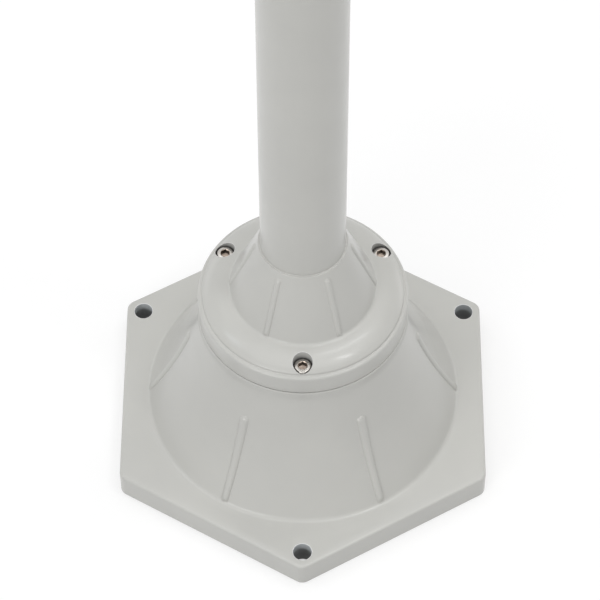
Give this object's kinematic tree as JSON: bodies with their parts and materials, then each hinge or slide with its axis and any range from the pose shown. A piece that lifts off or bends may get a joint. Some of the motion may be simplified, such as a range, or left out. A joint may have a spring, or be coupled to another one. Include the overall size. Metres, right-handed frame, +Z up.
{
  "type": "lamp post foot with the lower length of its column",
  "caption": "Hexagonal cast foot of a lamp post: a flared ribbed bell, a screwed-on ribbed collar and the lower length of a round tubular column.",
  "frame": {"origin": "on the ground under the column's axis, at the centre of the hexagonal plate", "axes": "+Z up along the column, -Y towards the corner of the plate with an anchor hole and a cap screw that faces the viewer, +X to the viewer's right"},
  "size_m": [0.27, 0.3092, 0.6],
  "materials": {
    "powder_coat": "satin light warm grey powder coat on cast and tubular aluminium",
    "stainless": "bright turned stainless steel",
    "brass": "plain turned brass"
  },
  "bodies": {
    "root": {"base_casting": "powder_coat", "collar_casting": "powder_coat", "column_tube": "powder_coat", "cap_screw_1": "stainless", "cap_screw_2": "stainless", "cap_screw_3": "stainless", "set_screw_1": "stainless", "set_screw_2": "stainless", "set_screw_3": "stainless", "earth_screw": "brass", "earth_washer": "brass"}
  },
  "joints": []
}
